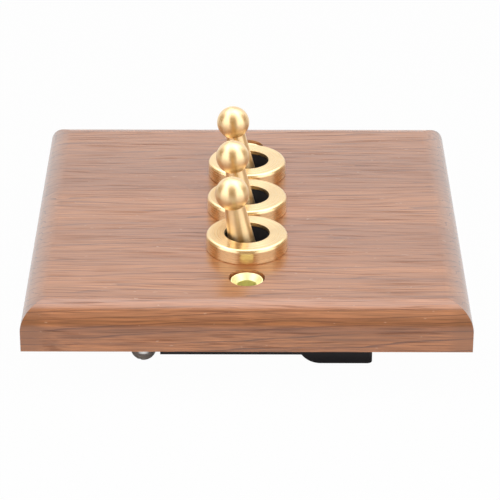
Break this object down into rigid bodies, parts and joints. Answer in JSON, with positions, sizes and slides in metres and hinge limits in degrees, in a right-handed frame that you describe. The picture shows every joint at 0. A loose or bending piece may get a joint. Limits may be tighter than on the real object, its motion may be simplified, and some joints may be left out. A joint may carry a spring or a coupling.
{
  "type": "toggle light switch",
  "caption": "Wooden wall switch plate with ball-headed brass dolly levers in ring bezels, a black moulded case of see-saw contacts behind and screw cups for a wall box.",
  "frame": {"origin": "midway between the two wall screws, on the back face of the plate", "axes": "+Z out of the wall towards the levers, +Y along the column of levers, levers lean to -X at rest"},
  "size_m": [0.086, 0.086, 0.0376],
  "materials": {
    "walnut": "satin varnish, straight grain across the plate",
    "satin_brass": "satin, turned",
    "cup_brass": "bright",
    "black_moulding": "moulded, fine texture",
    "nylon": "smooth moulded",
    "pin_steel": "drawn wire",
    "contact_copper": "stamped strip",
    "contact_silver": "silver-faced rivet",
    "terminal_brass": "stamped and turned",
    "nickel": "bright nickel plate"
  },
  "bodies": {
    "root": {"walnut_plate": "walnut", "screw_cup_lower": "cup_brass", "screw_cup_upper": "cup_brass", "switch_frame": "black_moulding", "rear_case": "black_moulding", "fixed_tips": "contact_silver", "terminal_screws": "terminal_brass", "terminal_washers": "terminal_brass", "case_screws": "nickel", "bezel_ring_1": "satin_brass", "pivot_pin_1": "pin_steel", "common_terminal_1": "terminal_brass", "left_terminal_1": "terminal_brass", "right_terminal_1": "terminal_brass", "bezel_ring_2": "satin_brass", "pivot_pin_2": "pin_steel", "common_terminal_2": "terminal_brass", "left_terminal_2": "terminal_brass", "right_terminal_2": "terminal_brass", "bezel_ring_3": "satin_brass", "pivot_pin_3": "pin_steel", "common_terminal_3": "terminal_brass", "left_terminal_3": "terminal_brass", "right_terminal_3": "terminal_brass"},
    "lever_1": {"dolly_1": "satin_brass", "actuator_1": "nylon", "plunger_spring_1": "pin_steel"},
    "seesaw_1": {"rocker_contact_1": "contact_copper", "rocker_tips_1": "contact_silver"},
    "nose_1": {"plunger_1": "nylon"},
    "lever_2": {"dolly_2": "satin_brass", "actuator_2": "nylon", "plunger_spring_2": "pin_steel"},
    "seesaw_2": {"rocker_contact_2": "contact_copper", "rocker_tips_2": "contact_silver"},
    "nose_2": {"plunger_2": "nylon"},
    "lever_3": {"dolly_3": "satin_brass", "actuator_3": "nylon", "plunger_spring_3": "pin_steel"},
    "seesaw_3": {"rocker_contact_3": "contact_copper", "rocker_tips_3": "contact_silver"},
    "nose_3": {"plunger_3": "nylon"}
  },
  "joints": [
    {"name": "lever_1_throw", "type": "hinge", "parent": "root", "child": "lever_1", "pos_m": [0, -0.017, 0.0044], "axis": [0, 1, 0], "range_deg": [0, 20]},
    {"name": "seesaw_1_tilt", "type": "hinge", "parent": "root", "child": "seesaw_1", "pos_m": [0, -0.017, -0.00582], "axis": [0, 1, 0], "range_deg": [-16, 0]},
    {"name": "nose_1_slide", "type": "slide", "parent": "lever_1", "child": "nose_1", "axis": [-0.1736, 0, 0.9848], "range_m": [0, 0.0005], "stiffness_N_per_m": 800, "springref_m": -0.002, "deforming": ["plunger_spring_1"]},
    {"name": "lever_2_throw", "type": "hinge", "parent": "root", "child": "lever_2", "pos_m": [0, 0, 0.0044], "axis": [0, 1, 0], "range_deg": [0, 20]},
    {"name": "seesaw_2_tilt", "type": "hinge", "parent": "root", "child": "seesaw_2", "pos_m": [0, 0, -0.00582], "axis": [0, 1, 0], "range_deg": [-16, 0]},
    {"name": "nose_2_slide", "type": "slide", "parent": "lever_2", "child": "nose_2", "axis": [-0.1736, 0, 0.9848], "range_m": [0, 0.0005], "stiffness_N_per_m": 800, "springref_m": -0.002, "deforming": ["plunger_spring_2"]},
    {"name": "lever_3_throw", "type": "hinge", "parent": "root", "child": "lever_3", "pos_m": [0, 0.017, 0.0044], "axis": [0, 1, 0], "range_deg": [0, 20]},
    {"name": "seesaw_3_tilt", "type": "hinge", "parent": "root", "child": "seesaw_3", "pos_m": [0, 0.017, -0.00582], "axis": [0, 1, 0], "range_deg": [-16, 0]},
    {"name": "nose_3_slide", "type": "slide", "parent": "lever_3", "child": "nose_3", "axis": [-0.1736, 0, 0.9848], "range_m": [0, 0.0005], "stiffness_N_per_m": 800, "springref_m": -0.002, "deforming": ["plunger_spring_3"]}
  ],
  "couplings": [
    {"joint": "seesaw_1_tilt", "follows": "lever_1_throw", "ratio": -0.8},
    {"joint": "seesaw_2_tilt", "follows": "lever_2_throw", "ratio": -0.8},
    {"joint": "seesaw_3_tilt", "follows": "lever_3_throw", "ratio": -0.8}
  ]
}
